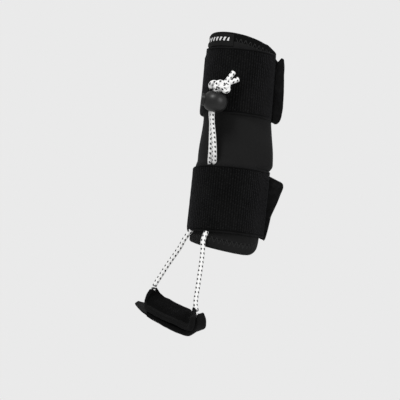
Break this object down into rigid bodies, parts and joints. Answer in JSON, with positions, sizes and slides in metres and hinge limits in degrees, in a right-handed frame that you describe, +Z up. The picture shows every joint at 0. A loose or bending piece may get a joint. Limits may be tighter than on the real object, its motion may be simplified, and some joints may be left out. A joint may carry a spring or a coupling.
{
  "type": "ankle foot orthosis",
  "caption": "Black wrap-around lower-leg sleeve with webbing straps, an elastic toe-up cord with a ball cord lock, and a padded toe sling.",
  "frame": {"origin": "on the leg's axis, level with the lower strap's bottom edge", "axes": "+Z up the leg, -Y towards the toes, +X to the wearer's left of the toe side"},
  "size_m": [0.0686, 0.0861, 0.2265],
  "materials": {
    "foam_fabric": "matte knitted nylon over foam",
    "hem_tape": "folded and sewn edge",
    "hook_fabric": "woven nylon hook tape",
    "loop_fabric": "brushed nylon loop tape",
    "label_fabric": "woven label with a plain light mark",
    "strap_fabric": "ribbed elastic webbing with a soft pile",
    "cord_fabric": "braided white sheath with black flecks over an elastic core",
    "lock_plastic": "satin black moulding",
    "spring_steel": "bare wire",
    "sling_fabric": "matte knitted nylon over thin foam"
  },
  "bodies": {
    "sleeve": {"sleeve_lining": "foam_fabric", "neoprene_panel": "foam_fabric", "top_hem_band": "hem_tape", "bottom_hem_band": "hem_tape", "closure_hook_strip": "hook_fabric", "closure_loop_strip": "loop_fabric", "label": "label_fabric", "upper_strap_front": "strap_fabric", "upper_strap_back": "strap_fabric", "upper_back_tab": "strap_fabric", "lower_strap_front": "strap_fabric", "lower_strap_back": "strap_fabric", "lower_back_tab": "strap_fabric", "cord_strand_left": "cord_fabric", "cord_strand_right": "cord_fabric", "cord_knot": "cord_fabric", "cord_tails": "cord_fabric"},
    "upper_tab": {"upper_front_tab": "strap_fabric", "upper_tab_hook": "hook_fabric"},
    "lower_tab": {"lower_front_tab": "strap_fabric", "lower_tab_hook": "hook_fabric"},
    "lock": {"lock_body": "lock_plastic", "lock_spring": "spring_steel"},
    "plunger": {"lock_plunger": "lock_plastic"},
    "toe_cords": {"toe_cord_left": "cord_fabric", "toe_cord_right": "cord_fabric"},
    "toe_ends": {"toe_cord_ends": "cord_fabric"},
    "sling": {"sling_cord": "cord_fabric", "sling_upper_layer": "sling_fabric", "sling_lower_layer": "sling_fabric", "sling_hook_patch": "hook_fabric", "sling_loop_patch": "loop_fabric"},
    "tongue": {"sling_tongue": "sling_fabric"}
  },
  "joints": [
    {"name": "upper_tab_peel", "type": "hinge", "parent": "sleeve", "child": "upper_tab", "pos_m": [0.02231, 0.01801, 0.11], "axis": [0, 0, -1], "range_deg": [0, 70]},
    {"name": "lower_tab_peel", "type": "hinge", "parent": "sleeve", "child": "lower_tab", "pos_m": [0.02312, 0.01876, 0.022], "axis": [0, 0, -1], "range_deg": [0, 70]},
    {"name": "lock_slide", "type": "slide", "parent": "sleeve", "child": "lock", "axis": [0.0102, -0.0282, -0.9996], "range_m": [0, 0.028], "deforming": ["cord_strand_left", "cord_strand_right"]},
    {"name": "plunger_press", "type": "slide", "parent": "lock", "child": "plunger", "axis": [0.7104, 0.6976, -0.093], "range_m": [0, 0.0025], "stiffness_N_per_m": 400, "springref_m": -0.003, "deforming": ["lock_spring"]},
    {"name": "toe_swing", "type": "hinge", "parent": "sleeve", "child": "toe_cords", "pos_m": [0, -0.0262, -0.002], "axis": [-1, 0, 0], "range_deg": [-20, 40]},
    {"name": "toe_stretch", "type": "slide", "parent": "toe_cords", "child": "toe_ends", "axis": [0, -0.293, -0.9561], "range_m": [0, 0.02], "stiffness_N_per_m": 150, "deforming": ["toe_cord_left", "toe_cord_right"]},
    {"name": "sling_tilt", "type": "hinge", "parent": "toe_ends", "child": "sling", "pos_m": [0.0003, -0.043, -0.055], "axis": [0.9548, 0, -0.2974], "range_deg": [-30, 30]},
    {"name": "sling_tongue_peel", "type": "hinge", "parent": "sling", "child": "tongue", "pos_m": [-0.02179, -0.0377, -0.06338], "axis": [-0.1017, -0.9397, -0.3265], "range_deg": [0, 80]}
  ]
}
